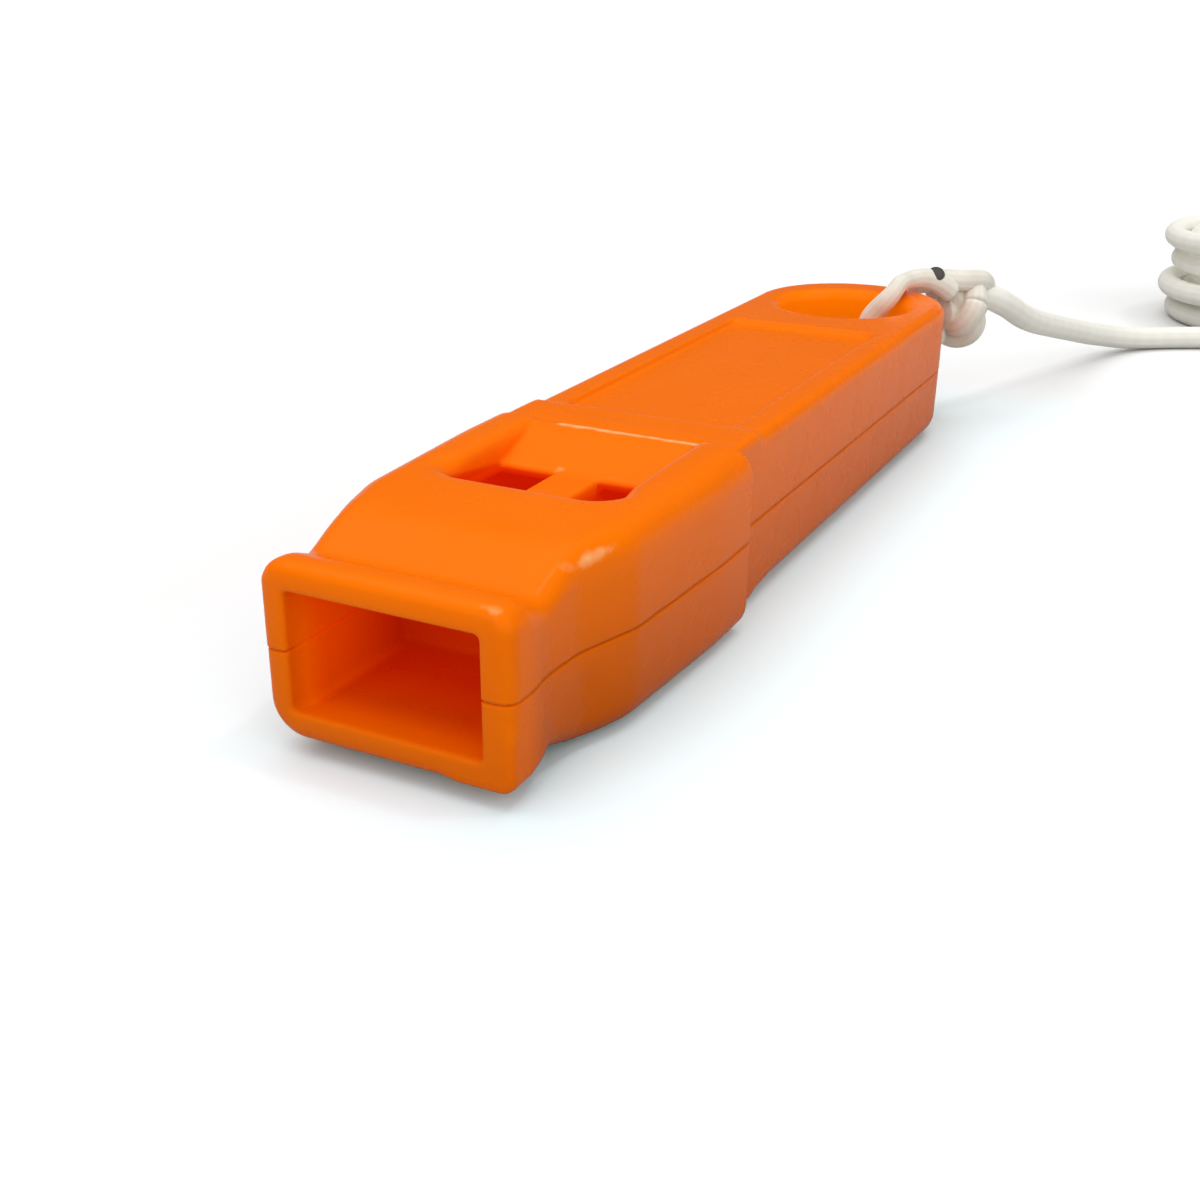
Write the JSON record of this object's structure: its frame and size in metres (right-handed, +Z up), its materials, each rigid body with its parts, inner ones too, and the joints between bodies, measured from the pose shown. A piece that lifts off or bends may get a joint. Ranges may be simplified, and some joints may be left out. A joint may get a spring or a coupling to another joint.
{
  "type": "sports whistle",
  "caption": "Flat pealess whistle of two moulded shells with a mouth opening, two sound windows, a tail hole, and a knotted cord lanyard that ends in a coil.",
  "frame": {"origin": "centre of the whistle's footprint on the surface it lies on, cord left out", "axes": "+Y along the whistle from the lip to the tail, +Z up, +X to the right seen from the lip"},
  "size_m": [0.0524, 0.1448, 0.0154],
  "materials": {
    "orange_plastic": "semi-gloss",
    "cord": "braided",
    "burnt_cord": "melted"
  },
  "bodies": {
    "root": {"upper_shell": "orange_plastic", "lower_shell": "orange_plastic", "lanyard_loop": "cord", "lanyard_knot": "cord", "lanyard_tip": "burnt_cord", "lanyard_cord": "cord", "lanyard_coil": "cord", "lanyard_end_knot": "cord"}
  },
  "joints": []
}
